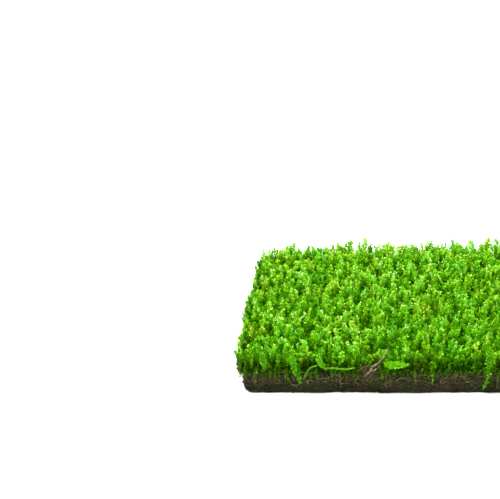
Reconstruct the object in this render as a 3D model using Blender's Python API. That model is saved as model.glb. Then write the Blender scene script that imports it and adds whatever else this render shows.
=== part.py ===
# A cut sheet of living moss: a felt of soil and old stems with green turf growing on it, and the loose
# sprigs that hang over its front edge. Metres, +Z up, the sheet lying on Z = 0 with its front facing -Y.
import math

import bmesh
import bpy
from mathutils import Vector, noise

MM = 0.001

# The sheet's driving sizes.
TURF_LENGTH = 180 * MM
TURF_DEPTH = 145 * MM
EDGE_HEIGHT = 22 * MM  # the shoots' tips along the cut edges
SOIL_THICKNESS = 11 * MM
OVERHANG = 3 * MM  # how far the turf stands out past the soil all round
CORNER_RADII = (10 * MM, 13 * MM, 22 * MM, 5.5 * MM)  # front right, back right, back left, front left
GAP = 0.3 * MM  # between solids that touch

# The unevenness of a thing that grew.
SIDE_WAVE = 1.5 * MM
SIDE_WAVE_SPACING = 26 * MM
SOIL_WAVE = 0.5 * MM
SOIL_WAVE_SPACING = 25 * MM
HILL_HEIGHT = 2.2 * MM
HILL_SPACING = 42 * MM

# How finely it is made.
SIDE_STEPS = (15, 19)  # along a short side and along a long one
CORNER_STEPS = 5
RINGS = 8  # outlines between an edge and the middle
FLOOR_RINGS = 4  # the same on the flat underside
SPRIG_ROUNDNESS = 2  # a bevel resolution: 8 sides


def clear_scene():
    for old in list(bpy.data.objects):
        bpy.data.objects.remove(old)


def finish(name, colour, roughness):
    material = bpy.data.materials.new(name)
    material.use_nodes = True
    shader = material.node_tree.nodes["Principled BSDF"]
    shader.inputs["Base Color"].default_value = (*colour, 1.0)
    shader.inputs["Roughness"].default_value = roughness
    shader.inputs["Metallic"].default_value = 0.0
    return material


def side_wave(x, y):
    """How far the outline swings out at this place."""
    return SIDE_WAVE * noise.noise(Vector((x, y, 0)) / SIDE_WAVE_SPACING)


def outline(length, depth, inset=0.0, share=1.0):
    """Points round a rectangle with round corners, its sides waving a little. share shrinks the whole."""
    corners = ((1, -1), (1, 1), (-1, 1), (-1, -1))
    centres = []
    for (side_x, side_y), radius in zip(corners, CORNER_RADII):
        centres.append(Vector((side_x * (length / 2 - radius), side_y * (depth / 2 - radius))))
    edges = []  # a place on the plain outline and the way out there
    for quarter, (centre, radius) in enumerate(zip(centres, CORNER_RADII)):
        for step in range(CORNER_STEPS):
            angle = math.pi / 2 * (quarter - 1 + step / CORNER_STEPS)
            outward = Vector((math.cos(angle), math.sin(angle)))
            edges.append((centre + outward * radius, outward))
        outward = Vector((math.cos(math.pi / 2 * quarter), math.sin(math.pi / 2 * quarter)))
        following = (quarter + 1) % 4
        start, end = centre + outward * radius, centres[following] + outward * CORNER_RADII[following]
        steps = SIDE_STEPS[quarter % 2]
        edges += [(start.lerp(end, step / steps), outward) for step in range(steps)]
    return [(edge + outward * (side_wave(edge.x, edge.y) - inset)) * share for edge, outward in edges]


def soil_top(x, y):
    """The height of the soil's upper face."""
    return SOIL_THICKNESS + SOIL_WAVE * noise.noise(Vector((x, y, 0)) / SOIL_WAVE_SPACING)


def turf_top(x, y):
    """The height of the shoots' tips: low hills that fade out towards the cut edges."""
    fade_x = max(1 - (2 * x / TURF_LENGTH) ** 6, 0)
    fade_y = max(1 - (2 * y / TURF_DEPTH) ** 6, 0)
    hills = noise.noise(Vector((x, y, 0.8)) / HILL_SPACING)
    return EDGE_HEIGHT + HILL_HEIGHT * fade_x * fade_y * (1.75 + hills)


def lofted(name, rings, material):
    """A closed solid through these rings of points, the first and the last filled with a fan of faces."""
    shape = bmesh.new()
    loops = [[shape.verts.new(point) for point in ring] for ring in rings]
    for lower, upper in zip(loops, loops[1:]):
        for corners in zip(lower, lower[1:] + lower[:1], upper[1:] + upper[:1], upper):
            shape.faces.new(corners)
    for end in (loops[0], loops[-1]):
        bmesh.ops.poke(shape, faces=[shape.faces.new(end)])
    bmesh.ops.recalc_face_normals(shape, faces=shape.faces)
    mesh = bpy.data.meshes.new(name)
    shape.to_mesh(mesh)
    shape.free()
    mesh.shade_smooth()
    mesh.set_sharp_from_angle(angle=math.radians(35))
    mesh.materials.append(material)
    thing = bpy.data.objects.new(name, mesh)
    bpy.context.scene.collection.objects.link(thing)
    return thing


def level_ring(length, depth, inset, height):
    return [(p.x, p.y, height) for p in outline(length, depth, inset)]


def shrinking_rings(length, depth, inset, height_at, count=RINGS):
    """Outlines from the edge almost to the middle, each laid on the surface height_at."""
    rings = []
    for step in range(count):
        points = outline(length, depth, inset, share=1 - step / count)
        rings.append([(p.x, p.y, height_at(p.x, p.y)) for p in points])
    return rings


def soil_mat():
    """The felt: flat and cut square below, a little rounded along its upper edge."""
    length, depth = TURF_LENGTH - 2 * OVERHANG, TURF_DEPTH - 2 * OVERHANG
    underside = shrinking_rings(length, depth, 0.8 * MM, lambda x, y: 0, FLOOR_RINGS)
    wall = [
        level_ring(length, depth, 0, 1.2 * MM),
        level_ring(length, depth, 0.3 * MM, SOIL_THICKNESS / 2),
        level_ring(length, depth, 0.2 * MM, SOIL_THICKNESS - 1.5 * MM),
    ]
    top = shrinking_rings(length, depth, 1.0 * MM, soil_top)
    material = finish("soil and old stems", (0.075, 0.058, 0.032), 0.95)
    return lofted("soil_mat", underside[::-1] + wall + top, material)


def moss_turf():
    """The living layer, from just above the soil to the shoots' tips, its sides bulging past the soil."""
    length, depth = TURF_LENGTH, TURF_DEPTH
    soil_length, soil_depth = length - 2 * OVERHANG, depth - 2 * OVERHANG
    underside = shrinking_rings(soil_length, soil_depth, 1.0 * MM, lambda x, y: soil_top(x, y) + GAP)
    lip = SOIL_THICKNESS + SOIL_WAVE + GAP
    side = [
        level_ring(length, depth, 1.4 * MM, lip),
        level_ring(length, depth, 0, lip + 3 * MM),
        level_ring(length, depth, 0.3 * MM, EDGE_HEIGHT - 3 * MM),
        level_ring(length, depth, 1.8 * MM, EDGE_HEIGHT - 0.8 * MM),
    ]
    top = shrinking_rings(length, depth, 5 * MM, turf_top)
    material = finish("living moss", (0.11, 0.36, 0.015), 0.55)
    return lofted("moss_turf", underside[::-1] + side + top, material)


def sprig(name, route, thickness, taper, material):
    """One tapering tube from the turf's front to a free tip. Each point of route is a place along the front,
    a distance out from the turf's front face and a height, in millimetres."""
    curve = bpy.data.curves.new(name, "CURVE")
    curve.dimensions = "3D"
    curve.bevel_depth = thickness / 2 * MM
    curve.bevel_resolution = SPRIG_ROUNDNESS
    curve.use_fill_caps = True
    curve.resolution_u = 3
    spline = curve.splines.new("BEZIER")
    last = len(route) - 1
    spline.bezier_points.add(last)
    for number, (point, (along, out, height)) in enumerate(zip(spline.bezier_points, route)):
        front = -TURF_DEPTH / 2 - side_wave(along * MM, -TURF_DEPTH / 2)
        point.co = (along * MM, front - out * MM, height * MM)
        point.handle_left_type = "AUTO"
        point.handle_right_type = "AUTO"
        point.radius = 1 - taper * (number / last) ** 2
    curve.materials.append(material)
    thing = bpy.data.objects.new(name, curve)
    bpy.context.scene.collection.objects.link(thing)
    return thing


def stand_on_centre(things):
    """Moves the whole sheet sideways so that the middle of its box is over the origin."""
    bpy.context.view_layer.update()
    corners = [thing.matrix_world @ Vector(corner) for thing in things for corner in thing.bound_box]
    middle_x = (min(c.x for c in corners) + max(c.x for c in corners)) / 2
    middle_y = (min(c.y for c in corners) + max(c.y for c in corners)) / 2
    for thing in things:
        thing.location -= Vector((middle_x, middle_y, 0))


# The loose leafy sprigs and bare stems along the front: route, thickness and taper.
GREEN_SPRIGS = {
    "corner_sprig": ([(-79.2, 0.2, 25), (-77, 1.9, 25.2), (-76.5, 2.2, 21.5), (-76, 1.8, 16.8)], 2.2, 0.6),
    "hanging_frond": (
        [(-65.2, 0.4, 24.2), (-62.6, 1.9, 24.2), (-61.8, 2.1, 19.2), (-61.2, 1.8, 13.8)], 2.4, 0.6),
    "arched_stem": ([(-57, 1.1, 10.4), (-55.3, 1.3, 14.4), (-53.1, 1.3, 17.2), (-50.7, 1.2, 17.6)], 1.0, 0.4),
    "bright_sprig": ([(-50.2, 1.7, 23.4), (-49.3, 2, 21.6), (-48.4, 2, 19.9), (-47.4, 1.8, 18.4)], 2.4, 0.6),
    "pale_stem": ([(-45.8, 1.4, 16.2), (-42, 1.6, 16.7), (-37, 1.6, 16.3), (-32.2, 1.4, 16.6)], 1.3, 0.4),
    "thick_sprig": ([(-17.4, 2.4, 18.6), (-13.7, 2.7, 18.9), (-9.9, 2.8, 19), (-5.4, 2.6, 18.8)], 3.4, 0.45),
    "drooping_sprig": (
        [(30.2, 0.3, 25.4), (33.2, 2, 24.8), (32.8, 2.2, 17.5), (32.3, 2, 11), (30.4, 1.2, 5)], 2.4, 0.6),
}
DRY_TWIG = (
    [(-26.8, 1.6, 12.6), (-23.4, 1.8, 17.1), (-20.2, 1.8, 20.2), (-17.3, 1.5, 23), (-16.2, 1, 25.6)],
    1.1, 0.3)

clear_scene()
leafy = finish("young moss shoots", (0.2, 0.5, 0.03), 0.5)
woody = finish("dry wood", (0.3, 0.26, 0.16), 0.8)
sheet = [soil_mat(), moss_turf(), sprig("dry_twig", *DRY_TWIG, woody)]
for sprig_name, (points, thick, thinning) in GREEN_SPRIGS.items():
    sheet.append(sprig(sprig_name, points, thick, thinning, leafy))
stand_on_centre(sheet)
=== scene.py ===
# A cut mat of living moss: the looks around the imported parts. Metres, Z up, the front edge facing -Y.
import math

import bpy
import numpy as np
from mathutils import Matrix


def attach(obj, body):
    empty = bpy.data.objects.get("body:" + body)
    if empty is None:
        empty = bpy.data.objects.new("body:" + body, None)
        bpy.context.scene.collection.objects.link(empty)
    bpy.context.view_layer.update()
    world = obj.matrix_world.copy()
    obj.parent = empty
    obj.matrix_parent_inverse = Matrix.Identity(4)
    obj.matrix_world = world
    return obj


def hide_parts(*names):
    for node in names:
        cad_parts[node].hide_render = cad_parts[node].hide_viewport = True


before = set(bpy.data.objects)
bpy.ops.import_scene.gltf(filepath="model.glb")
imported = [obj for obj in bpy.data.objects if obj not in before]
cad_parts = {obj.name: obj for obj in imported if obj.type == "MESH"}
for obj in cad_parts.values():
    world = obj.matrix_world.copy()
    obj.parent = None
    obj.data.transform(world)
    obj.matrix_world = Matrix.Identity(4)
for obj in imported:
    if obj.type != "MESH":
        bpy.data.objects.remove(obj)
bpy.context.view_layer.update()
scene = bpy.context.scene
mm = 0.001


def nodePoints(name):
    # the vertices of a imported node, in millimetres
    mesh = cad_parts[name].data
    flat = np.empty(len(mesh.vertices) * 3)
    mesh.vertices.foreach_get("co", flat)
    return flat.reshape(-1, 3) / mm


def atPlaces(ring, along, places):
    # the points of a closed ring at other places along it, on straight lines between its own
    closed = np.vstack([ring, ring[:1]])
    return np.stack([np.interp(places, along, closed[:, i]) for i in (0, 1)], axis=1)


def outlineOf(name, low, high, count=720, eased=6):
    # the node's outline between two heights: its points in order of angle, taken at even steps and then moved
    # half way to the middle of their neighbours a few times, which rounds the corners
    points = nodePoints(name)
    ring = points[(points[:, 2] > low) & (points[:, 2] < high), :2]
    ring = np.unique(ring.round(3), axis=0)
    ring = ring[np.argsort(np.arctan2(ring[:, 1], ring[:, 0]))]
    lengths = np.linalg.norm(np.roll(ring, -1, axis=0) - ring, axis=1)
    along = np.concatenate([[0], np.cumsum(lengths)])
    ring = atPlaces(ring, along, np.linspace(0, along[-1], count, endpoint=False))
    for _ in range(eased):
        ring = 0.5 * ring + 0.25 * (np.roll(ring, 1, axis=0) + np.roll(ring, -1, axis=0))
    return ring


def ringNormals(ring):
    # at each point the chord between its neighbours, turned a right angle outwards
    way = np.roll(ring, -1, axis=0) - np.roll(ring, 1, axis=0)
    out = np.stack([way[:, 1], -way[:, 0]], axis=1)
    return out / np.linalg.norm(out, axis=1, keepdims=True)


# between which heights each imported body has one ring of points, and above which height the turf's top lies
ringHeights = {"moss_turf": (14.3, 15.3), "soil_mat": (1.0, 1.4)}
topFrom = 19.5
turfRing = outlineOf("moss_turf", *ringHeights["moss_turf"])
turfOut = ringNormals(turfRing)
soilRing = outlineOf("soil_mat", *ringHeights["soil_mat"])
soilOut = ringNormals(soilRing)
turfTop = nodePoints("moss_turf")
turfTop = np.unique(turfTop[turfTop[:, 2] > topFrom].round(3), axis=0)


def batches(count, size=2000):
    # the numbers below count in equal parts, small enough for a table of every distance
    return np.array_split(np.arange(count), max(1, count // size))


def depthInside(spots, ring, out):
    # how deep each spot is inside the outline, and the way out from it to the nearest point of the outline
    depth = np.empty(len(spots))
    way = np.empty((len(spots), 2))
    for part in batches(len(spots)):
        apart = spots[part, None] - ring[None]
        near = np.argmin((apart ** 2).sum(2), axis=1)
        depth[part] = -(apart[np.arange(len(part)), near] * out[near]).sum(1)
        way[part] = out[near]
    return depth, way


def topHeight(spots, reach=4.0):
    # the turf's height over each spot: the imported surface's points, each weighed by a bell of its distance
    heights = np.empty(len(spots))
    for part in batches(len(spots)):
        apart = ((spots[part, None] - turfTop[None, :, :2]) ** 2).sum(2)
        weight = np.exp(-apart / (2 * reach ** 2)) + 1e-12
        heights[part] = (weight * turfTop[:, 2]).sum(1) / weight.sum(1)
    return heights


def waves(points, spacing, seed, stretch=(1, 1, 1), count=18):
    # smooth unevenness from about -1.5 to 1.5: a sum of cosines that run in random directions, each with a
    # length near the spacing
    rng = np.random.default_rng(seed)
    points = np.asarray(points)
    ways = rng.normal(size=(count, points.shape[1]))
    ways /= np.linalg.norm(ways, axis=1, keepdims=True)
    ways *= (2 * np.pi / spacing * rng.uniform(0.6, 1.5, count))[:, None]
    ways /= np.array(stretch)[:points.shape[1]]
    phase = rng.uniform(0, 2 * np.pi, count)
    return np.cos(points @ ways.T + phase).sum(1) * math.sqrt(2 / count) * 0.8


def unit(vectors):
    # each vector divided by its length
    return vectors / np.maximum(np.linalg.norm(vectors, axis=-1, keepdims=True), 1e-9)


def makePiece(name, points, faces, uvs, material, uvName="OFBake"):
    # points in millimetres, faces as one array with the same number of corners each, uvs one per corner
    mesh = bpy.data.meshes.new(name)
    corners = faces.shape[1]
    mesh.vertices.add(len(points))
    mesh.vertices.foreach_set("co", (points * mm).astype(np.float32).ravel())
    mesh.loops.add(faces.size)
    mesh.loops.foreach_set("vertex_index", faces.astype(np.int32).ravel())
    mesh.polygons.add(len(faces))
    mesh.polygons.foreach_set("loop_start", np.arange(0, faces.size, corners, dtype=np.int32))
    mesh.polygons.foreach_set("use_smooth", np.full(len(faces), True))
    if uvs is not None:
        layer = mesh.uv_layers.new(name=uvName)
        layer.data.foreach_set("uv", uvs.astype(np.float32).ravel())
    mesh.update(calc_edges=True)
    mesh.validate()
    mesh.materials.append(material)
    piece = bpy.data.objects.new(name, mesh)
    scene.collection.objects.link(piece)
    return piece


def joined(meshes):
    # several (points, faces, uvs) with the same corners per face as one
    points, faces, uvs, start = [], [], [], 0
    for p, f, uv in meshes:
        points.append(p)
        faces.append(f + start)
        uvs.append(uv)
        start += len(p)
    return np.vstack(points), np.vstack(faces), np.vstack(uvs)


offWay = np.array([0.31, 0.87, 0.38])  # hardly any stem runs this way, so its sides are found from it
goldenAngle = math.radians(137.5)  # between one leaf on a stem and the next
leafShapes = {
    # across, along, out of the leaf's plane; a boat whose keel faces away from the stem
    "fine": ([(0, 0, 0), (1, 0.58, -0.4), (0, 1, 0), (-1, 0.58, -0.4)], [(0, 1, 2), (0, 2, 3)]),
    "full": ([(0, 0, 0), (1, 0.38, -0.5), (0, 0.5, 0.12), (-1, 0.38, -0.5), (0, 1, -0.1)],
             [(0, 1, 2), (0, 2, 3), (1, 4, 2), (2, 4, 3)]),
}


def arcPoints(base, bend, tip, t):
    # a quadratic curve from base to tip pulled towards bend, and its direction, at every t: (stems, steps, 3)
    t = t[..., None]
    base, bend, tip = base[:, None], bend[:, None], tip[:, None]
    place = (1 - t) ** 2 * base + 2 * t * (1 - t) * bend + t ** 2 * tip
    way = unit(2 * (1 - t) * (bend - base) + 2 * t * (tip - bend) + np.array([0, 0, 1e-6]))
    return place, way


def leafy(plants, look, seed):
    # leaves in a spiral up each stem: each is a small boat on the stem's own axes, turned by the golden angle
    # from the one below, and opens and swells less towards the tip
    rng = np.random.default_rng(seed)
    base, bend, tip = plants["base"], plants["bend"], plants["tip"]
    stems, leaves = len(base), look["leaves"]
    step = (np.arange(leaves)[None] + rng.uniform(-0.3, 0.3, (stems, leaves))) / (leaves - 1)
    step = np.clip(step, 0, 1)
    t = look["bare"] + (1 - look["bare"]) * step ** 0.92
    place, way = arcPoints(base, bend, tip, t)
    side = unit(np.cross(way, offWay))
    other = np.cross(way, side)
    turn = np.arange(leaves) * goldenAngle + rng.uniform(0, 6.28, (stems, 1)) + rng.normal(0, 0.2, t.shape)
    radial = np.cos(turn)[..., None] * side + np.sin(turn)[..., None] * other
    across = np.cross(way, radial)
    openness = np.radians(look["open"] * (1 - 0.6 * step ** 3) + rng.normal(0, 12, t.shape))[..., None]
    along = np.cos(openness) * way + np.sin(openness) * radial
    outer = np.cos(openness) * radial - np.sin(openness) * way
    swell = 0.72 + 0.4 * np.sin(np.pi * np.clip(step * 0.85 + 0.08, 0, 1)) - 0.25 * step ** 6
    # pale marks the leaves that carry a painted glint
    pale = rng.random(t.shape) < look["paintedGlints"]
    size = swell * rng.uniform(0.8, 1.2, t.shape) * plants["grow"][:, None] * np.where(pale, 1.3, 0.95)
    length = (look["length"] * size)[..., None, None]
    width = (look["width"] / 2 * size)[..., None, None]
    shape = np.array(leafShapes[look["shape"]][0], float)
    local = place + radial * look["stem"]
    points = (local[:, :, None]
              + length * shape[:, 1, None] * along[:, :, None]
              + width * shape[:, 0, None] * across[:, :, None]
              + width * shape[:, 2, None] * outer[:, :, None])
    each = len(shape)
    pattern = np.array(leafShapes[look["shape"]][1])
    faces = (pattern[None] + np.arange(stems * leaves)[:, None, None] * each).reshape(-1, 3)
    # u is the leaf's tint; v is how pale it is: painted shade that lifts up the turf, and from the leaf's foot
    # to its point painted shade giving way to a painted highlight; a few larger leaves carry painted glints
    # and are the palest, and so are those round the stem's own tip, partly their young colour and partly
    # painted highlight
    u = np.clip(plants["tint"][:, None] + rng.normal(0, 0.035, t.shape), 0.01, 0.985)
    # lit is painted shade: the deeper a leaf lies under the turf's top, the darker it is
    lit = 1 - (plants["roof"][:, None] - place[..., 2]) / look["dark"]
    lit = np.clip(lit + rng.normal(0, 0.05, t.shape), 0, 1) * plants["bright"][:, None]
    bud = look["bud"] * plants["bud"][:, None] * step ** 6
    point = np.maximum(np.where(pale, 1.0, rng.uniform(0.0, 0.45, t.shape)), bud)[..., None]
    foot = np.maximum(np.where(pale, look["foot"] + 0.25, look["foot"]), 0.8 * bud)[..., None]
    u = u[..., None] + 0.0045 * shape[:, 0]
    v = 0.02 + 0.96 * lit[..., None] * (foot + (1 - foot) * shape[:, 1] * point)
    perVertex = np.stack([u, v], axis=-1).reshape(-1, 2)
    return points.reshape(-1, 3), faces, perVertex[faces].reshape(-1, 2)


def stripFaces(rows, count):
    # rows of rings: two triangles between neighbours on one ring and the same two on the next, and a fan over
    # each end to the points that follow the rings
    here = np.arange(count)
    nextOne = (here + 1) % count
    faces = []
    for row in range(rows - 1):
        a, b = row * count, (row + 1) * count
        faces.append(np.stack([a + here, a + nextOne, b + nextOne], 1))
        faces.append(np.stack([a + here, b + nextOne, b + here], 1))
    top = (rows - 1) * count
    faces.append(np.stack([np.full(count, rows * count), nextOne, here], 1))
    faces.append(np.stack([np.full(count, rows * count + 1), top + here, top + nextOne], 1))
    return np.vstack(faces)


def tubes(spines, radii, sides, tint):
    # a round tube along every spine (tubes, steps, 3): a ring of points round each step, and one at each end;
    # u is its tint and v runs along it
    count, steps = spines.shape[:2]
    way = unit(np.gradient(spines, axis=1) + 1e-9)
    side = unit(np.cross(way, np.array([0.23, 0.31, 0.92])))
    other = np.cross(way, side)
    turn = np.arange(sides) * 2 * np.pi / sides
    rim = np.cos(turn)[:, None] * side[:, :, None] + np.sin(turn)[:, None] * other[:, :, None]
    points = spines[:, :, None] + radii[:, :, None, None] * rim
    foot = spines[:, 0] - way[:, 0] * radii[:, :1]
    tip = spines[:, -1] + way[:, -1] * radii[:, -1:]
    points = np.concatenate([points.reshape(count, -1, 3), foot[:, None], tip[:, None]], axis=1)
    each = steps * sides + 2
    v = np.concatenate([np.repeat(np.linspace(0, 1, steps), sides), [0, 1]])
    u = np.concatenate([np.tile(np.abs(np.linspace(-1, 1, sides)), steps), [0, 0]])
    u = np.clip(tint[:, None], 0.01, 0.98) + 0.008 * u
    uv = np.stack([u, np.broadcast_to(0.02 + 0.95 * v, (count, each))], -1)
    faces = (stripFaces(steps, sides)[None] + np.arange(count)[:, None, None] * each).reshape(-1, 3)
    return points.reshape(-1, 3), faces, uv.reshape(-1, 2)[faces].reshape(-1, 2)


def newMaterial(name, look):
    # an empty material with its roughness and gloss; its node tree and shader follow it
    material = bpy.data.materials.new(name)
    material.use_nodes = True
    tree = material.node_tree
    shader = tree.nodes["Principled BSDF"]
    shader.inputs["Roughness"].default_value = look["roughness"]
    shader.inputs["Specular IOR Level"].default_value = look["gloss"]
    return material, tree, shader


def addNode(tree, kind, inputs, **settings):
    # a new node: each input is given a value, or a link where the value is another node's output
    made = tree.nodes.new("ShaderNode" + kind)
    for name, value in settings.items():
        setattr(made, name, value)
    for name, value in inputs.items():
        if isinstance(value, bpy.types.NodeSocket):
            tree.links.new(value, made.inputs[name])
        else:
            made.inputs[name].default_value = value
    return made


def banded(tree, value, stops):
    # the colour that a ramp of (place, colour) stops shows for a value
    band = addNode(tree, "ValToRGB", {"Fac": value})
    elements = band.color_ramp.elements
    for _ in range(len(stops) - 2):
        elements.new(0.5)
    for element, (place, colour) in zip(elements, stops):
        element.position = place
        element.color = (*colour, 1)
    return band.outputs["Color"]


def multiplied(tree, first, second):
    # two colours multiplied channel by channel
    inputs = {"Factor": 1.0, "A": first, "B": second}
    return addNode(tree, "Mix", inputs, data_type="RGBA", blend_type="MULTIPLY").outputs["Result"]


def noise(tree, where, scale, detail, roughness=0.5):
    # a noise pattern over the coordinates in where
    inputs = {"Vector": where, "Scale": scale, "Detail": detail, "Roughness": roughness}
    return addNode(tree, "TexNoise", inputs).outputs["Fac"]


def roughened(tree, shader, height, relief):
    # bumps on the shader that follow height: relief is their strength and their depth in metres
    bump = addNode(tree, "Bump", {"Height": height, "Strength": relief[0], "Distance": relief[1]})
    tree.links.new(bump.outputs["Normal"], shader.inputs["Normal"])


def bandedPair(tree, across, up):
    # two bands multiplied: the first shows u of the UV map and the second v
    uv = addNode(tree, "UVMap", {}, uv_map="OFBake")
    split = addNode(tree, "SeparateXYZ", {"Vector": uv.outputs["UV"]})
    across = banded(tree, split.outputs["X"], across)
    return multiplied(tree, banded(tree, split.outputs["Y"], up), across)


# the first ramp maps v from dark to pale: old leaves to young, and painted shade to painted highlight
leafLook = {
    "ageAndLight": [(0.0, (0.025, 0.12, 0.0)), (0.2, (0.085, 0.35, 0.001)), (0.42, (0.2, 0.57, 0.003)),
            (0.62, (0.38, 0.8, 0.025)), (0.82, (0.65, 0.93, 0.22)), (1.0, (0.95, 1.0, 0.75))],
    "tint": [(0.0, (0.56, 0.83, 0.65)), (0.35, (0.87, 0.97, 0.8)), (0.7, (1.14, 1.0, 0.9)),
             (0.88, (1.32, 0.97, 0.8)), (1.0, (1.08, 0.66, 0.6))],
    "roughness": 0.35,
    "gloss": 0.15,
    "shine": (0.8, 1.0, 0.4, 1),
    "through": 0.25,
}
# the cut sides hold older leaves and get less light, so this darker copy of the leaf colours, partly painted
# shade, has a deeper and browner dark end
shadedEdgeLeafLook = dict(leafLook, ageAndLight=[
    (0.0, (0.019, 0.05, 0.003)), (0.2, (0.056, 0.19, 0.003)), (0.42, (0.135, 0.42, 0.003)),
    (0.62, (0.27, 0.67, 0.016)), (0.82, (0.5, 0.85, 0.13)), (1.0, (0.82, 0.95, 0.5))])


def leafMaterial(name, look):
    # u picks the tint and v the age together with painted shade and highlight, and the colour is their
    # product;
    # some light shines through the leaf
    material, tree, shader = newMaterial(name, look)
    colour = bandedPair(tree, look["tint"], look["ageAndLight"])
    tree.links.new(colour, shader.inputs["Base Color"])
    shader.inputs["Specular Tint"].default_value = look["shine"]
    light = addNode(tree, "BsdfTranslucent", {"Color": colour})
    mix = addNode(tree, "MixShader", {0: look["through"], 1: shader.outputs["BSDF"], 2: light.outputs["BSDF"]})
    tree.links.new(mix.outputs["Shader"], tree.nodes["Material Output"].inputs["Surface"])
    return material


soilLook = {
    "earth": [(0.25, (0.01, 0.009, 0.003)), (0.45, (0.03, 0.028, 0.011)), (0.62, (0.058, 0.054, 0.023)),
              (0.8, (0.12, 0.107, 0.05))],
    "stain": [(0.38, (1.5, 0.85, 1.25)), (0.5, (1, 1, 1)), (0.64, (0.75, 1.15, 0.5))],
    "lowDarkening": [(0.0, (0.33, 0.36, 0.33)), (0.45, (0.5, 0.53, 0.48)), (1.0, (1, 1, 1))],
    "lowDarkeningHeight": 0.01,  # how far up the darkening reaches, in metres
    "crumbs": (480, 7, 0.68),  # scale, detail and roughness of the noise
    "layering": 2.6,  # how much finer the crumbs are up the side than along it
    "patches": (95, 3),
    "relief": (0.7, 0.0006),
    "gloss": 0.12,
    "roughness": 0.9,
}


def soilMaterial():
    # matted earth: dark crumbs and paler fibre, streaked along the layers, stained violet-brown and green, and
    # darker towards the ground
    material, tree, shader = newMaterial("soil felt", soilLook)
    where = addNode(tree, "TexCoord", {}).outputs["Object"]
    stretch = addNode(tree, "Mapping", {"Vector": where, "Scale": (1, 1, soilLook["layering"])})
    crumbs = noise(tree, stretch.outputs["Vector"], *soilLook["crumbs"])
    earth = banded(tree, crumbs, soilLook["earth"])
    stain = banded(tree, noise(tree, where, *soilLook["patches"]), soilLook["stain"])
    split = addNode(tree, "SeparateXYZ", {"Vector": where})
    share = addNode(tree, "Math", {0: split.outputs["Z"], 1: soilLook["lowDarkeningHeight"]}, operation="DIVIDE")
    lowDarkening = banded(tree, share.outputs["Value"], soilLook["lowDarkening"])
    colour = multiplied(tree, multiplied(tree, earth, stain), lowDarkening)
    tree.links.new(colour, shader.inputs["Base Color"])
    roughened(tree, shader, crumbs, soilLook["relief"])
    return material


thatchLook = {
    "shadedLitter": [(0.35, (0.008, 0.04, 0.0)), (0.5, (0.02, 0.1, 0.0)), (0.7, (0.05, 0.2, 0.001))],
    "grain": (900, 5),
    "gloss": 0.0,
    "roughness": 0.9,
}


def thatchMaterial():
    # the inside of the turf: old leaves in fine grains of deep green, kept dark as painted shade
    material, tree, shader = newMaterial("old moss inside in painted shade", thatchLook)
    grain = noise(tree, addNode(tree, "TexCoord", {}).outputs["Object"], *thatchLook["grain"])
    tree.links.new(banded(tree, grain, thatchLook["shadedLitter"]), shader.inputs["Base Color"])
    return material


fibreLook = {
    "tint": [(0.0, (0.012, 0.01, 0.004)), (0.3, (0.034, 0.03, 0.013)), (0.5, (0.09, 0.046, 0.036)),
             (0.68, (0.11, 0.092, 0.04)), (0.85, (0.17, 0.15, 0.065)), (1.0, (0.22, 0.26, 0.07))],
    "along": [(0.0, (0.6, 0.55, 0.5)), (0.5, (1, 1, 1)), (1.0, (0.75, 0.7, 0.65))],
    "roughness": 0.8,
    "gloss": 0.15,
}


def fibreMaterial(name):
    # u picks each strand's colour, darker the lower it lies, and v darkens it towards its ends
    material, tree, shader = newMaterial(name, fibreLook)
    colour = bandedPair(tree, fibreLook["tint"], fibreLook["along"])
    tree.links.new(colour, shader.inputs["Base Color"])
    return material


soil = {
    "height": 11.2,
    "rows": 18,  # up the cut sides
    "columns": 640,
    "floorRings": 14,
    # unevenness of the cut sides: how much, spacing, seed, and how it is drawn out along x, y and z
    "lumps": [(0.375, 4.5, 1, (1, 1, 0.45)), (0.3, 1.7, 2, (1.6, 1.6, 0.6)), (0.45, 14, 3, (1, 1, 0.8))],
    "sunk": 0.15,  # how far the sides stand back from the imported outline
    "pits": [(0.35, 5, 4), (0.2, 1.8, 5)],  # of the underside: how much, spacing, seed
    "strands": 1900,
    "seed": 11,
}


def shellGrid(ring, out, rows, rowsIn, lower, upper):
    # a closed body: rings from the middle of its underside out to its edge, up its side, and in over its top.
    # rows are (inset, height) up the side; lower and upper give the heights inside, from flat spots. The last
    # value says which points are the side's: from its first number to before its second
    count = len(ring)
    shares = np.linspace(0, 1, rowsIn + 1)[1:-1]
    lowEdge = ring - out * rows[0][0]
    highEdge = ring - out * rows[-1][0]
    grid = []
    for share in shares:
        spots = lowEdge * share
        grid.append(np.column_stack([spots, lower(spots)]))
    for inset, height in rows:
        spots = ring - out * inset
        grid.append(np.column_stack([spots, np.broadcast_to(height, count)]))
    for share in shares[::-1]:
        spots = highEdge * share
        grid.append(np.column_stack([spots, upper(spots)]))
    points = np.vstack(grid)
    poles = np.array([points[:count].mean(0), points[-count:].mean(0)])
    side = (len(shares) * count, (len(shares) + len(rows)) * count)
    return np.vstack([points, poles]), stripFaces(len(grid), count), side


def resampled(ring, count):
    # the same outline with another number of points, in even shares of the old ones
    return atPlaces(ring, np.arange(len(ring) + 1) / len(ring), np.arange(count) / count)


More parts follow.
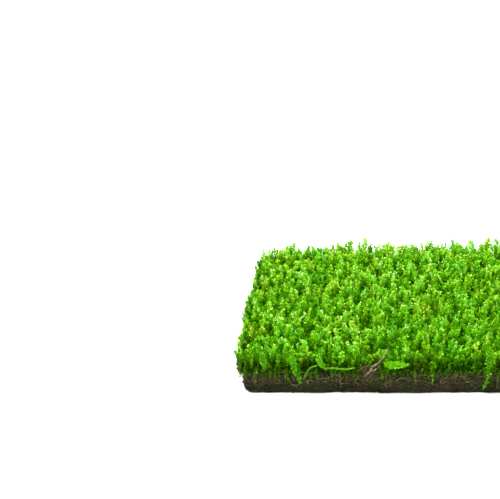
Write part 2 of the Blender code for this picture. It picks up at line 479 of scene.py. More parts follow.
def makeSoil():
    # the felt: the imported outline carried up, drawn in a little at its lower and upper edge, and its sides
    # pushed in and out by waves of three sizes
    ring = resampled(soilRing, soil["columns"])
    out = ringNormals(ring)
    heights = np.linspace(0, soil["height"], soil["rows"])
    rows = [(0.45 * math.exp(-h / 0.6) + (1.2 if h > 10.5 else 0.25 * (h > 9.8)), h) for h in heights]
    points, faces, (first, last) = shellGrid(
        ring, out, rows, soil["floorRings"],
        lambda p: np.zeros(len(p)), lambda p: np.full(len(p), soil["height"]))
    wall = points[first:last]
    push = sum(amount * waves(wall, *kind) for amount, *kind in soil["lumps"]) - soil["sunk"]
    fade = np.clip(wall[:, 2], 0.25, 1)  # less over the lowest millimetre
    points[first:last, :2] += np.tile(out, (soil["rows"], 1)) * (push * fade)[:, None]
    # the underside is cut flat but rough: pits rise a little from the ground
    under = points[:first]
    pits = sum(amount * waves(under[:, :2], *kind) for amount, *kind in soil["pits"])
    under[:, 2] = np.maximum(0, pits - 0.1)
    piece = makePiece("soil_felt", points, faces, None, soilMaterial())
    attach(piece, "root")
    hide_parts("soil_mat")


def makeStrands():
    # fine roots and dead stems: each a curve that runs along the side, wanders and loops a little off it
    rng = np.random.default_rng(soil["seed"])
    count, steps = soil["strands"], 7
    pick = rng.integers(0, len(soilRing), count)
    run = rng.uniform(1.5, 9, count) * rng.choice([-1, 1], count)
    along = np.linspace(0, 1, steps)
    ringStep = np.linalg.norm(soilRing[1] - soilRing[0])
    index = pick[:, None] + run[:, None] * along / ringStep
    arch = np.sin(np.pi * along)
    wander = rng.normal(0, 1, (count, 1)) * arch + rng.normal(0, 0.5, (count, 1)) * np.sin(2 * np.pi * along)
    index = (index + 0.7 * wander / ringStep) % len(soilRing)
    low = index.astype(int)
    share = (index - low)[..., None]
    high = (low + 1) % len(soilRing)
    spots = soilRing[low] * (1 - share) + soilRing[high] * share
    out = unit(soilOut[low] * (1 - share) + soilOut[high] * share)
    height = 0.6 + 11.8 * rng.random((count, 1)) ** 0.8 + rng.normal(0, 2.2, (count, 1)) * along
    height = height + 1.5 * rng.normal(0, 1, (count, 1)) * arch + 0.4 * rng.normal(0, 1, (count, steps))
    height = np.clip(height, 0.35, 13)
    lift = -0.3 + rng.uniform(0.1, 1.3, (count, 1)) * arch ** 0.8 + rng.normal(0, 0.12, (count, steps))
    lift = np.minimum(lift, 0.25 + 0.18 * height)
    spines = np.concatenate([spots + out * lift[..., None], height[..., None]], axis=2)
    thick = rng.uniform(0.08, 0.24, (count, 1)) * (1 - 0.5 * np.abs(along - 0.4))
    # the lower a strand lies, the darker its colour
    tint = rng.random(count) ** 0.7 * np.clip(0.25 + 0.75 * height.mean(1) / 7, 0, 1)
    points, faces, uvs = tubes(spines, thick, 3, tint)
    piece = makePiece("root_strands", points, faces, uvs, fibreMaterial("roots and old stems"))
    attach(piece, "root")
    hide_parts("soil_mat")


turf = {
    "spacing": 3.15,
    "jitter": 0.6,
    "baseHeight": 10.5,
    "inset": 1.8,  # how far inside the outline the outermost shoots stand
    "crestLine": (67, 5),  # where the back edge rises: y and reach
    "splits": ((-30, 30), (-24, 24)),  # the turf is cut into nine pieces at these x and y
    "branches": 6,  # on each shoot
    "reach": (0.8, 1.8),  # how long they are
    "brown": [(-27, 9, 3.5), (7, -20, 4.5), (-84, -38, 5), (48, 22, 4)],  # dying patches: middle and reach
    # tufts along the back edge that stand above the rest: place along it, half width, how much taller
    "crests": [(-71, 6, 2.4), (-58, 3, 2.2), (-46, 4, 0.9), (-28.5, 2.3, 6.2), (-16.5, 3.5, 2.8), (7, 2, 2),
               (29, 3.5, 3.2), (41.5, 2.4, 6.6), (66, 3, 2.4), (80, 3, 1.4)],
    "seed": 5,
}
# leaves on each shoot, where they start along it, their size in millimetres, how far they open in degrees, the
# stem's thickness, how deep under the turf's top the painted shade is darkest, the share of leaves with a
# painted glint, how pale the tip is (its young colour and painted highlight), and how pale a leaf's foot is,
# under painted shade, beside its point
shootLook = {"leaves": 46, "bare": 0.25, "length": 1.1, "width": 0.64, "open": 50, "stem": 0.12,
             "shape": "fine", "dark": 10.5, "paintedGlints": 0.15, "bud": 1.0, "foot": 0.42}
branchLook = dict(shootLook, leaves=10, bare=0.1, length=0.8, width=0.54, open=48, stem=0.06)
thatch = {
    "columns": 300,
    "rings": 22,
    "side": [(4.5, 11.5), (3.4, 13), (3.0, 15), (3.4, 17), (5, 18.3)],  # inset and height
    "floor": 11.4,
    "below": 8.4,  # how deep it lies under the turf's top
}


def makeThatch():
    # a closed body under the shoots, dark as painted shade: the turf's outline drawn in unevenly, and its top
    # lowered and wavy
    ring = resampled(turfRing, thatch["columns"])
    out = ringNormals(ring)
    ring = ring - out * (0.7 + 0.9 * waves(ring, 5, 23))[:, None]

    def upper(spots):
        return topHeight(spots) - thatch["below"] + 0.9 * waves(spots, 6, 21) + 0.4 * waves(spots, 2.4, 22)

    points, faces, _ = shellGrid(
        ring, out, thatch["side"], thatch["rings"], lambda p: np.full(len(p), thatch["floor"]), upper)
    piece = makePiece("old_growth_in_painted_shade", points, faces, None, thatchMaterial())
    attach(piece, "root")
    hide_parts("moss_turf")


# darker and browner stretches of the front edge, mostly gaps where old stems show: place along it, half width,
# and how much; the darkening is painted shade and the brown is the old stems' colour
hollows = [(-88, 7.0, 0.7), (-70, 9, 0.28), (-57.5, 3.2, 0.5), (-48, 7, 0.3), (-36, 3, 0.25), (-24, 5, 0.8),
           (-3.0, 4.0, 0.55), (14, 3.5, 0.25), (26, 3, 0.2), (41, 4.5, 0.45), (66, 5, 0.4)]
hollowsFrom, hollowsReach = -73, 9  # the y where they are deepest, and how far in from there they fade away


def shadeOf(spots):
    # how far each spot is in one of those gaps: a bell across each, fading evenly in from the front edge
    inward = np.clip(1 - (spots[:, 1] - hollowsFrom) / hollowsReach, 0, 1)
    return inward * sum(amount * np.exp(-((spots[:, 0] - x) / half) ** 2) for x, half, amount in hollows)


def plantShoots():
    # one shoot at each spot of a loose honeycomb: it rises to just under the turf's top, more or less by waves
    # of two sizes and by chance, and leans by slower waves and out over the edge
    rng = np.random.default_rng(turf["seed"])
    gap = turf["spacing"]
    xs = np.arange(-94, 94, gap)
    ys = np.arange(-76, 76, gap * 0.866)
    x, y = np.meshgrid(xs, ys)
    x = x + (np.arange(len(ys)) % 2)[:, None] * gap / 2
    spots = np.column_stack([x.ravel(), y.ravel()]) + rng.uniform(-1, 1, (x.size, 2)) * turf["jitter"] * gap
    depth, way = depthInside(spots, turfRing, turfOut)
    keep = depth > turf["inset"]
    spots, depth, way = spots[keep], depth[keep], way[keep]
    count = len(spots)
    nearEdge = np.exp(-np.maximum(depth - turf["inset"], 0) / 3.0)
    clump = waves(spots, 13, 31)
    fine = waves(spots, 5.5, 32)
    wind = np.column_stack([waves(spots, 15, 33), waves(spots, 15, 34)])
    lean = 1.6 * wind + rng.normal(0, 1.8, (count, 2)) + way * (2.2 * nearEdge)[:, None]
    tipSpots = spots + lean
    tipDepth, tipWay = depthInside(tipSpots, turfRing, turfOut)
    tipSpots = tipSpots + tipWay * np.minimum(tipDepth - 0.2, 0)[:, None]
    top = topHeight(tipSpots)
    height = top - 1.7 + 1.7 * clump + 1.1 * fine + rng.normal(0, 1.8, count)
    height = np.clip(height - nearEdge * rng.uniform(0, 1.5, count), top - 6.5, top + 2)
    tall = rng.random(count) < 0.02 + 0.09 * nearEdge * (way[:, 1] > 0.6)
    height = np.minimum(height + tall * rng.uniform(1, 3.2, count), top + 3.6)
    # the back edge is a little taller, and each of its tufts is a bell of extra height
    crest = sum(rise * np.exp(-((tipSpots[:, 0] - x) / half) ** 2) for x, half, rise in turf["crests"])
    line, reach = turf["crestLine"]
    height = height + (0.7 + crest) * np.exp(-((tipSpots[:, 1] - line) / reach) ** 2)
    base = np.column_stack([spots, np.full(count, turf["baseHeight"])])
    tip = np.column_stack([tipSpots, height])
    swing = np.column_stack([rng.normal(0, 1.1, (count, 2)), np.zeros(count)])
    bend = base + (tip - base) * np.array([0.3, 0.3, 0.62]) + swing
    tint = 0.42 + 0.17 * waves(spots, 30, 35) + 0.15 * waves(spots, 9, 36) + rng.normal(0, 0.17, count)
    # in the front gaps the shoots are browner where old stems show, and darker with painted shade
    oldStemsAndShade = shadeOf(spots)
    tint = np.minimum(tint, 0.84)
    tint = np.clip(tint + 0.2 * np.exp(-(spots[:, 0] + 90) / 9) + 0.4 * oldStemsAndShade, 0.02, 0.97)
    bright = np.clip(rng.normal(0.94, 0.12, count), 0.5, 1.05) * (1 - 0.8 * oldStemsAndShade)
    for x, y, reach in turf["brown"]:
        near = np.exp(-((spots - (x, y)) ** 2).sum(1) / reach ** 2)
        tint = np.clip(tint + 0.5 * near, 0.02, 0.98)
        bright = bright * (1 - 0.62 * near)
    # the shoots near the back edge are plumper
    grow = np.clip(rng.normal(1, 0.2, count) + 0.3 * tall, 0.65, 1.55)
    grow = grow * (1 + 0.25 * np.clip(spots[:, 1] / 70, 0, 1))
    bud = rng.uniform(0, 1.3, count).clip(0, 1)
    return dict(base=base, bend=bend, tip=tip, tint=tint, bright=bright, grow=grow, roof=top, bud=bud)


def branchesOf(shoots, seed):
    # side branches in two loose rows up the outer part of each shoot, like the barbs of a feather: each leaves
    # the stem sideways, bends up along it, and is shorter the nearer it is to the tip
    rng = np.random.default_rng(seed)
    count, each = len(shoots["base"]), turf["branches"]
    step = (np.arange(each) + rng.uniform(0.05, 0.95, (count, each))) / each
    foot, way = arcPoints(shoots["base"], shoots["bend"], shoots["tip"], 0.4 + 0.55 * step)
    side = unit(np.cross(way, offWay))
    turn = rng.uniform(0, 2 * np.pi, (count, 1)) + np.pi * (np.arange(each) % 2)
    turn = turn + rng.normal(0, 0.5, (count, each))
    aside = np.cos(turn)[..., None] * side + np.sin(turn)[..., None] * np.cross(way, side)
    reach = rng.uniform(*turf["reach"], (count, each)) * (1 - 0.5 * step) * shoots["grow"][:, None]
    reach = reach[..., None]
    bend = (foot + reach * (0.6 * aside + 0.15 * way)).reshape(-1, 3)
    tip = (foot + reach * (0.9 * aside + rng.uniform(0.45, 1.1, (count, each, 1)) * way)).reshape(-1, 3)
    depth, out = depthInside(tip[:, :2], turfRing, turfOut)
    tip[:, :2] += out * np.minimum(depth + 0.2, 0)[:, None]
    chosen = {name: np.repeat(values, each, axis=0) for name, values in shoots.items()}
    return dict(chosen, base=foot.reshape(-1, 3), bend=bend, tip=tip)


def makeTurf(material):
    # the shoots and their branches in nine pieces, by the places of their feet
    shoots = plantShoots()
    branches = branchesOf(shoots, 6)
    print("turf:", len(shoots["base"]), "shoots,", len(branches["base"]), "branches")
    for number in range(9):
        i, j = divmod(number, 3)
        grown = []
        for plants, look, seed in ((shoots, shootLook, 100), (branches, branchLook, 200)):
            column = np.digitize(plants["base"][:, 0], turf["splits"][0])
            row = np.digitize(plants["base"][:, 1], turf["splits"][1])
            one = {name: values[(column == i) & (row == j)] for name, values in plants.items()}
            grown.append(leafy(one, look, seed + number))
        piece = makePiece("turf_%d%d" % (j + 1, i + 1), *joined(grown), material)
        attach(piece, "root")
        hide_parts("moss_turf")


edge = {
    "gap": 1.6,  # between shoots in a row
    "feet": (10.6, 11.4, 12.2),  # how high the shoots of each row stand
    "rises": (3.6, 6.6, 9.8),  # and how far they rise
    "hanging": 0.14,  # the share that hangs down
    "fingers": 150,  # plump shoots along the upper edge
    "bulge": (-18, 9, 3.2),  # where the left side leans out: place along y, half width, how far
    "hem": 620,  # short hanging shoots over the soil
    "oldStems": 460,  # bare brown stems among them
    "tangle": ((-24.5, -71.7, 14.1), (3.6, 0.3, 2.6), 34),  # more by the twig's foot: middle, spread, count
    "seed": 8,
}
edgeLook = dict(shootLook, leaves=44, bare=0.04, length=1.2, width=0.68)
fingerLook = dict(shootLook, leaves=60, bare=0.05, length=1.25, width=0.8, open=32, stem=0.3, dark=10,
                  paintedGlints=0.12, foot=0.6)
hemLook = dict(shootLook, leaves=15, bare=0.1, length=0.95, width=0.5, open=36, stem=0.06, dark=9, bud=0.6,
               foot=0.45)


def makeFingers():
    # plump shoots that lean out over the upper edge, one by one, with pale round tips
    rng = np.random.default_rng(edge["seed"] + 2)
    count = edge["fingers"]
    index = (np.arange(count) + rng.uniform(-0.6, 0.6, count)) / count * len(turfRing)
    index = index.astype(int) % len(turfRing)
    spots, out = turfRing[index], turfOut[index]
    sideways = np.column_stack([-out[:, 1], out[:, 0]])
    drift = sideways * (0.6 + rng.normal(0, 1.3, count))[:, None]
    low = rng.uniform(12.5, 16.5, count)
    high = np.minimum(low + rng.uniform(4.5, 8, count), topHeight(spots - out * 3) - 0.3)
    base = np.column_stack([spots - out * rng.uniform(2.2, 3.2, count)[:, None], low])
    tip = np.column_stack([spots + out * rng.uniform(-1.0, 0.4, (count, 1)) + drift, high])
    bend = np.column_stack([spots - out * 0.4 + drift * 0.2, 0.4 * low + 0.6 * high])
    shade = shadeOf(spots)
    return dict(base=base, bend=bend, tip=tip, roof=high + 1, bud=rng.uniform(0.5, 1, count),
                tint=np.clip(0.5 + rng.normal(0, 0.14, count) + 0.3 * shade, 0.02, 0.9),
                bright=rng.uniform(0.6, 1, count) * (1 - 0.8 * shade), grow=rng.uniform(0.8, 1.25, count))


def makeEdge(material):
    # rows of shoots along the cut sides: most stand up from the felt and lean out, and some hang down over it
    rng = np.random.default_rng(edge["seed"])
    length = np.linalg.norm(np.roll(turfRing, -1, axis=0) - turfRing, axis=1).sum()
    perRow = int(length / edge["gap"])
    rows = len(edge["feet"])
    count = perRow * rows
    row = np.repeat(np.arange(rows), perRow)
    index = (np.tile(np.arange(perRow), rows) + rng.uniform(-0.7, 0.7, count)) / perRow * len(turfRing)
    index = index.astype(int) % len(turfRing)
    spots, out = turfRing[index], turfOut[index]
    sideways = np.column_stack([-out[:, 1], out[:, 0]])
    hangs = rng.random(count) < edge["hanging"] * (1 + 0.8 * waves(spots, 22, 43))
    roof = topHeight(spots - out * 3) + 0.5
    foot = np.array(edge["feet"])[row] + rng.normal(0, 0.4, count)
    rise = np.array(edge["rises"])[row] + rng.normal(0, 1.6, count) + 0.8 * waves(spots, 9, 44)
    rise = np.clip(rise, 1.2, roof + 1.2 - foot)
    place, half, far = edge["bulge"]
    bulge = far * np.exp(-((spots[:, 1] - place) / half) ** 2) * (out[:, 0] < -0.7)
    lean = rng.uniform(-1.4, 0.25, count) - 0.5 * (row == 2) + bulge * row / 2
    shade = shadeOf(spots)
    drift = sideways * rng.normal(0, 1.5, count)[:, None]
    base = np.column_stack([spots - out * rng.uniform(3.4, 4.6, count)[:, None], foot])
    tip = np.column_stack([spots + out * lean[:, None] + drift, foot + rise])
    bend = np.column_stack([spots + out * (lean - 1.2)[:, None] + drift * 0.2, foot + 0.35 * rise])
    # a hanging one comes out higher up, arches over and points down
    out3 = np.column_stack([out, np.zeros(count)])
    high = rng.uniform(13, 18, count)
    fall = np.clip(rng.normal(5.5, 2.2, count), 2, 11)
    hungTip = np.column_stack([spots + drift * 0.8, high - fall]) + out3 * rng.uniform(-0.9, 0.3, (count, 1))
    hungBend = np.column_stack([spots + drift * 0.4, high + rng.uniform(0.3, 2.0, count)]) + out3 * 0.3
    hungBase = np.column_stack([spots - out * 3.4, high])
    hangs = hangs[:, None]
    roof = np.where(hangs[:, 0], high + 3, foot + rise + rng.uniform(1, 6, count))
    tint = np.minimum(0.42 + 0.15 * waves(spots, 20, 42) + rng.normal(0, 0.17, count), 0.8)
    # the side shoots are dimmer than those on top and the lower rows dimmer still, as painted shade
    plants = dict(base=np.where(hangs, hungBase, base), bend=np.where(hangs, hungBend, bend),
                  tip=np.where(hangs, hungTip, tip), roof=roof, tint=np.clip(tint + 0.5 * shade, 0.02, 0.98),
                  bright=np.clip(rng.normal(0.5, 0.16, count) + 0.16 * row, 0.15, 1) * (1 - 0.9 * shade),
                  grow=np.clip(rng.normal(0.95, 0.15, count), 0.5, 1.35), bud=rng.uniform(0, 1, count))
    print("edge:", count, "shoots, of which", hangs.sum(), "hang")
    grown = [leafy(plants, edgeLook, 9), leafy(makeFingers(), fingerLook, 12)]
    piece = makePiece("edge_shoots", *joined(grown), material)
    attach(piece, "root")
    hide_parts("moss_turf")


def hangingFrom(rng, count, high, fall, outwards):
    # stems that leave the turf's side at a height, arch over and fall: their three points, and the spots of
    # the outline that they hang at
    index = rng.integers(0, len(turfRing), count)
    spots, out = turfRing[index], turfOut[index]
    drift = np.column_stack([-out[:, 1], out[:, 0]]) * rng.normal(0, 1.3, count)[:, None]
    height = rng.uniform(*high, count)
    drop = np.clip(rng.normal(fall, 0.5 * fall, count), 0.8, height - 4) * (1 + 0.5 * waves(spots, 11, 45))
    low = np.maximum(height - drop, 3)
    base = np.column_stack([spots - out * 3.2, height])
    bend = np.column_stack([spots + drift * 0.4 + out * rng.uniform(-0.4, 0.6, (count, 1)), height + 0.6])
    tip = np.column_stack([spots + drift + out * rng.uniform(*outwards, (count, 1)), low])
    return base, bend, tip, spots


def makeHem(material):
    # the ragged lower border of the turf: small dim shoots that hang over the soil, and bare brown stems
    rng = np.random.default_rng(edge["seed"] + 1)
    count = edge["hem"]
    base, bend, tip, spots = hangingFrom(rng, count, (11, 14), 3.2, (-1.6, -0.2))
    plants = dict(base=base, bend=bend, tip=tip, roof=base[:, 2] + rng.uniform(1, 5, count),
                  tint=np.clip(rng.normal(0.75, 0.2, count), 0.02, 0.98),
                  bright=rng.uniform(0.15, 0.55, count) * (1 - 0.7 * shadeOf(spots)),
                  grow=rng.uniform(0.6, 1.1, count), bud=rng.uniform(0, 1, count))
    piece = makePiece("hem_shoots", *leafy(plants, hemLook, 10), material)
    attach(piece, "root")
    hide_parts("moss_turf")
    count = edge["oldStems"]
    base, bend, tip, _ = hangingFrom(rng, count, (10.8, 15), 4.5, (-2.4, -0.6))
    spines, _ = arcPoints(base, bend, tip, np.broadcast_to(np.linspace(0, 1, 8), (count, 8)))
    # round the twig's foot more of them lie in a tangle
    middle, spread, lying = edge["tangle"]
    ends = np.array(middle) + rng.normal(0, 1, (lying, 2, 3)) * np.array(spread)
    share = np.linspace(0, 1, 8)[:, None]
    curl = rng.normal(0, 1.3, (lying, 1, 3)) * np.array([1, 0.25, 1]) * np.sin(np.pi * share)
    spines = np.concatenate([spines, ends[:, :1] * (1 - share) + ends[:, 1:] * share + curl])
    count += lying
    spines = spines + rng.normal(0, 0.16, spines.shape)
    radii = rng.uniform(0.07, 0.17, (count, 1)) * np.linspace(1, 0.6, 8)
    grown = tubes(spines, radii, 3, rng.uniform(0.2, 1, count))
    piece = makePiece("old_stems", *grown, fibreMaterial("old hanging stems"))
    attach(piece, "root")
    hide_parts("moss_turf")


# the loose sprigs, stems and twig along the front, each on its own route in millimetres
sprigs = {
    # for each sprig its stems: route, side branches, how long they are, how far they turn out of the sprig's
    # plane, and how bright it is; each starts inside the turf and leans on its side
    "corner_sprig": [
        ([(-79.0, -68.8, 23.7), (-75.2, -71.5, 25.0), (-71.6, -70.3, 23.9)], 10, 0.8, 0.8, 0.5),
        ([(-76.9, -71.0, 24.5), (-76.5, -72.2, 20.7), (-76.0, -71.7, 15.4)], 22, 1.9, 0.5, 0.5)],
    "hanging_frond": [
        ([(-65.6, -69.2, 22.9), (-61.0, -71.8, 23.6), (-56.4, -70.5, 22.6)], 12, 0.8, 0.8, 0.66),
        ([(-62.4, -71.5, 23.3), (-61.7, -72.3, 18.0), (-61.1, -71.9, 12.2)], 26, 2.3, 0.5, 0.52),
        ([(-59.8, -70.5, 18.1), (-59.2, -71.8, 13.0), (-59.3, -70.6, 7.2)], 16, 1.2, 0.5, 0.34)],
    "bright_sprig": [
        ([(-50.5, -70.4, 22.8), (-48.7, -72.1, 19.2), (-46.9, -71.6, 15.9)], 20, 1.9, 0.6, 0.6)],
    "thick_sprig": [
        ([(-17.8, -70.0, 17.3), (-14.0, -72.6, 17.8), (-9.5, -72.9, 18.0), (-6.4, -72.4, 17.6)],
         64, 2.3, 1.1, 0.8)],
    "drooping_sprig": [
        ([(29.2, -68.8, 25.3), (32.4, -71.6, 25.9), (34.8, -72.4, 23.2), (35.2, -71.9, 18.4)],
         24, 1.25, 0.7, 0.62),
        ([(33.0, -71.8, 24.5), (32.4, -72.4, 19.4), (32.6, -71.0, 10.1), (30.3, -70.6, 3.9)],
         30, 1.0, 0.5, 0.4),
        ([(34.0, -72.1, 24.2), (33.6, -72.6, 20.9), (33.8, -72.2, 17.2)], 10, 0.7, 0.6, 0.5)],
}
stems = {
    # route, radius at the foot and at the tip, and how bright
    "arched_stem": ([(-57.1, -69.8, 8.8), (-55.3, -71.8, 13.4), (-53.1, -72.0, 16.2), (-50.6, -71.0, 16.6)],
                    0.28, 0.2, 0.45),
    "pale_stem": ([(-46.6, -71.0, 15.1), (-42.0, -72.0, 15.8), (-37.0, -72.0, 15.2), (-32.0, -71.0, 15.4)],
                  0.42, 0.3, 0.46),
}
twig = {
    # the twig itself, a broken fork low on it and a thin one high up: route, radius at foot and tip
    "limbs": [([(-27.0, -71.0, 10.9), (-25.0, -72.0, 13.6), (-23.0, -71.9, 16.8), (-20.6, -72.2, 18.6),
                (-18.2, -71.9, 21.6), (-16.6, -71.7, 23.6), (-15.9, -70.4, 27.0)], 0.52, 0.18),
              ([(-24.2, -72.0, 14.6), (-22.4, -72.6, 14.8), (-20.6, -72.4, 16.0)], 0.36, 0.16),
              ([(-19.6, -72.1, 19.8), (-19.3, -72.5, 21.8), (-20.2, -72.0, 23.4)], 0.26, 0.1)],
    "knobs": 0.22,  # how much thicker and thinner it gets along its length
    "bark": [(0.3, (0.025, 0.019, 0.012)), (0.5, (0.11, 0.09, 0.052)), (0.68, (0.34, 0.29, 0.18))],
    "grain": (1500, 6),
    "relief": (0.6, 0.0003),
    "gloss": 0.2,
    "roughness": 0.85,
}


def smoothRoute(points, count):
    # a curve through all the points: each stretch is a cubic that leaves and meets its ends along the chords
    # between their neighbours
    p = np.array(points, float)
    p = np.vstack([2 * p[0] - p[1], p, 2 * p[-1] - p[-2]])
    t = np.linspace(0, len(points) - 1, count)
    i = np.minimum(t.astype(int), len(points) - 2)
    s = (t - i)[:, None]
    a, b, c, d = p[i], p[i + 1], p[i + 2], p[i + 3]
    square, cube = 2 * a - 5 * b + 4 * c - d, 3 * b - a - 3 * c + d
    return 0.5 * (2 * b + (c - a) * s + square * s ** 2 + cube * s ** 3)


def stretches(spine):
    # a curve cut into short arcs of eight steps: where each starts, bends and ends
    knots = spine[::8]
    return {"base": knots[:-1], "bend": spine[4::8], "tip": knots[1:]}


def frondOf(route, barbs, reach, spread, bright, rng):
    # a stem in short arcs and its side branches, left and right by turns, longest near the foot
    spine = smoothRoute(route, 41)
    way = unit(np.gradient(spine, axis=0))
    stem = stretches(spine)
    count = len(stem["base"])
    stem.update(grow=np.linspace(1, 0.7, count), bright=np.full(count, bright))
    place = np.sort(rng.uniform(0.03, 0.98, barbs))
    index = (place * 40).astype(int)
    foot, along = spine[index], way[index]
    side = unit(np.cross(along, np.array([0.0, -1.0, 0.0])))
    face = np.cross(side, along)
    turn = math.pi / 2 * (-1) ** np.arange(barbs) + rng.normal(0, spread, barbs)
    aside = np.sin(turn)[:, None] * side + np.cos(turn)[:, None] * face
    length = reach * (1 - place ** 2.4) * np.clip(0.45 + 4 * place, 0, 1) * rng.uniform(0.75, 1.2, barbs)
    length = length[:, None]
    branch = dict(base=foot, bend=foot + length * (0.5 * aside + 0.2 * along),
                  tip=foot + length * (0.72 * aside + 0.8 * along), grow=rng.uniform(0.85, 1.15, barbs),
                  bright=bright * rng.uniform(0.85, 1.1, barbs))
    for one in (stem, branch):
        one["bud"] = np.ones(len(one["base"]))
        one["roof"] = one["tip"][:, 2]
        one["tint"] = np.clip(0.5 + rng.normal(0, 0.1, len(one["base"])), 0.02, 0.97)
    core = tubes(spine[None], np.linspace(0.26, 0.12, 41)[None], 6, np.array([0.5]))
    core[2][:, 1] = 0.5 * bright
    return stem, branch, core


youngLook = {
    "ageAndLight": [(0.0, (0.01, 0.06, 0.0)), (0.3, (0.06, 0.28, 0.002)), (0.6, (0.2, 0.62, 0.006)),
            (0.85, (0.42, 0.88, 0.04)), (1.0, (0.8, 1.0, 0.35))],
    "tint": [(0.0, (0.8, 0.9, 0.9)), (0.5, (1, 1, 1)), (1.0, (1.5, 0.95, 2.5))],
    "roughness": 0.35,
    "gloss": 0.2,
    "shine": (0.75, 1.0, 0.4, 1),
    "through": 0.25,
}
sprigStemLook = {"leaves": 12, "bare": 0.0, "length": 1.25, "width": 0.8, "open": 42, "stem": 0.12,
                 "shape": "full", "dark": 60, "paintedGlints": 0.06, "bud": 0.0, "foot": 0.66}
sprigLook = dict(sprigStemLook, bare=0.05, length=0.95, width=0.7, open=44, stem=0.08, paintedGlints=0.05, bud=0.6,
                 foot=0.68)


def makeSprigs():
    # each sprig's fronds as one piece: cores, and leaves on their stems and branches
    rng = np.random.default_rng(60)
    material = leafMaterial("young leaves", youngLook)
    for number, (name, fronds) in enumerate(sprigs.items()):
        grown = []
        for route, barbs, reach, spread, bright in fronds:
            stem, branch, core = frondOf(route, barbs, reach, spread, bright, rng)
            grown.append(core)
            grown.append(leafy(stem, sprigStemLook, 61 + number))
            grown.append(leafy(branch, sprigLook, 71 + number))
        piece = makePiece(name + "_leaves", *joined(grown), material)
        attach(piece, "root")
        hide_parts(name)


scaleLook = dict(sprigStemLook, leaves=16, length=1.0, width=0.75, open=16, paintedGlints=0.1)


def makeStems():
    # bare stems that thin evenly, under small scale leaves that lie flat along them
    rng = np.random.default_rng(80)
    material = leafMaterial("stem scales", youngLook)
    for name, (route, thick, thin, bright) in stems.items():
        spine = smoothRoute(route, 49)
        points, faces, uvs = tubes(spine[None], np.linspace(thick, thin, 49)[None], 8, np.array([0.85]))
        uvs[:, 1] = 0.45 * bright
        plants = stretches(spine)
        count = len(plants["base"])
        plants.update(grow=np.linspace(1.1, 0.8, count), bright=np.full(count, bright), bud=np.zeros(count),
                      roof=plants["tip"][:, 2], tint=rng.uniform(0.75, 0.95, count))
        scales = leafy(plants, dict(scaleLook, stem=0.85 * thick), 81)
        piece = makePiece(name + "_scales", *joined([(points, faces, uvs), scales]), material)
        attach(piece, "root")
        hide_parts(name)


def barkMaterial():
    # grey-brown bark of fine grain, dark in its cracks and pale on its ridges
    material, tree, shader = newMaterial("dry bark", twig)
    grain = noise(tree, addNode(tree, "TexCoord", {}).outputs["Object"], *twig["grain"])
    tree.links.new(banded(tree, grain, twig["bark"]), shader.inputs["Base Color"])
    roughened(tree, shader, grain, twig["relief"])
    return material


def makeTwig():
    # each limb is a tube that strays a little more the farther out it is, and whose radius swells and shrinks
    rng = np.random.default_rng(90)
    grown = []
    for route, thick, thin in twig["limbs"]:
        spine = smoothRoute(route, 45)
        stray = np.cumsum(rng.normal(0, 0.3, spine.shape), axis=0) * np.linspace(0, 1, 45)[:, None]
        spine = spine + 0.12 * stray
        knobs = 1 + twig["knobs"] * waves(spine, 2.5, 91)
        radii = np.linspace(thick, thin, 45) * knobs
        grown.append(tubes(spine[None], radii[None], 10, np.array([0.5])))
    piece = makePiece("dry_twig_bark", *joined(grown), barkMaterial(), "grain")
    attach(piece, "root")
    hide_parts("dry_twig")


view = {"place": (-0.0092, -0.7313, 0.3406), "yaw": 6.156, "tilt": 68.43, "roll": -2.74, "lens": 108.06}


def placeCamera():
    # turned about the upright axis, tilted down to the moss and rolled about the line of sight
    data = bpy.data.cameras.new("camera")
    data.lens = view["lens"]
    camera = bpy.data.objects.new("camera", data)
    yaw = Matrix.Rotation(math.radians(view["yaw"]), 4, "Z")
    tilt = Matrix.Rotation(math.radians(view["tilt"]), 4, "X")
    roll = Matrix.Rotation(math.radians(view["roll"]), 4, "Z")
    camera.matrix_world = Matrix.Translation(view["place"]) @ (yaw @ tilt @ roll)
    scene.collection.objects.link(camera)
    scene.camera = camera


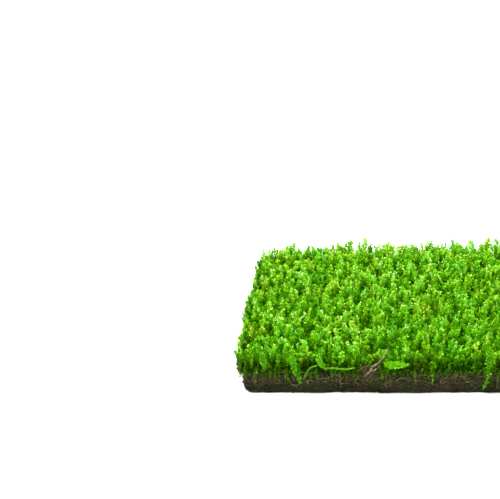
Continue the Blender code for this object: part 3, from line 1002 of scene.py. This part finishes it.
lights = {
    # place, size, power in watts, colour
    "key": ((-0.35, -0.25, 0.85), 0.55, 16, (1.0, 0.99, 0.96)),
    "fill": ((0.7, -0.6, 0.45), 0.8, 7, (0.95, 0.98, 1.0)),
    "rim": ((0.25, 0.75, 0.6), 0.6, 7, (1.0, 1.0, 0.98)),
}
studio = {"brightness": 0.85, "floor": (0.86, 0.86, 0.84, 1), "roughness": 0.7, "gloss": 0.5, "half": 4}


def placeLights():
    # three square lamps that face the middle of the moss, in an evenly white room
    for name, (place, size, power, tone) in lights.items():
        data = bpy.data.lights.new(name, "AREA")
        data.size, data.energy, data.color = size, power, tone
        lamp = bpy.data.objects.new(name, data)
        lamp.location = place
        lamp.rotation_mode = "QUATERNION"
        lamp.rotation_quaternion = (-lamp.location).to_track_quat("-Z", "Y")
        scene.collection.objects.link(lamp)
    world = bpy.data.worlds.new("studio")
    world.use_nodes = True
    background = world.node_tree.nodes["Background"]
    background.inputs["Color"].default_value = (1, 1, 1, 1)
    background.inputs["Strength"].default_value = studio["brightness"]
    scene.world = world
    scene.view_settings.view_transform = "Standard"


def layFloor():
    # a flat square round the middle, on the ground
    material, _, shader = newMaterial("pale floor", studio)
    shader.inputs["Base Color"].default_value = studio["floor"]
    half = studio["half"]
    mesh = bpy.data.meshes.new("floor")
    corners = [(-half, -half, 0), (half, -half, 0), (half, half, 0), (-half, half, 0)]
    mesh.from_pydata(corners, [], [(0, 1, 2, 3)])
    mesh.materials.append(material)
    floor = bpy.data.objects.new("floor", mesh)
    scene.collection.objects.link(floor)


print("placing the camera, the lights and the floor")
placeCamera()
placeLights()
layFloor()
print("laying the soil")
makeSoil()
makeStrands()
print("growing the moss")
mossMaterial = leafMaterial("moss leaves", leafLook)
makeThatch()
makeTurf(mossMaterial)
# the sides' leaves use the darker copy of the leaf colours, partly painted shade
shadedEdgeMaterial = leafMaterial("moss leaves of the sides in painted shade", shadedEdgeLeafLook)
makeEdge(shadedEdgeMaterial)
makeHem(shadedEdgeMaterial)
print("hanging the sprigs")
makeSprigs()
makeStems()
makeTwig()
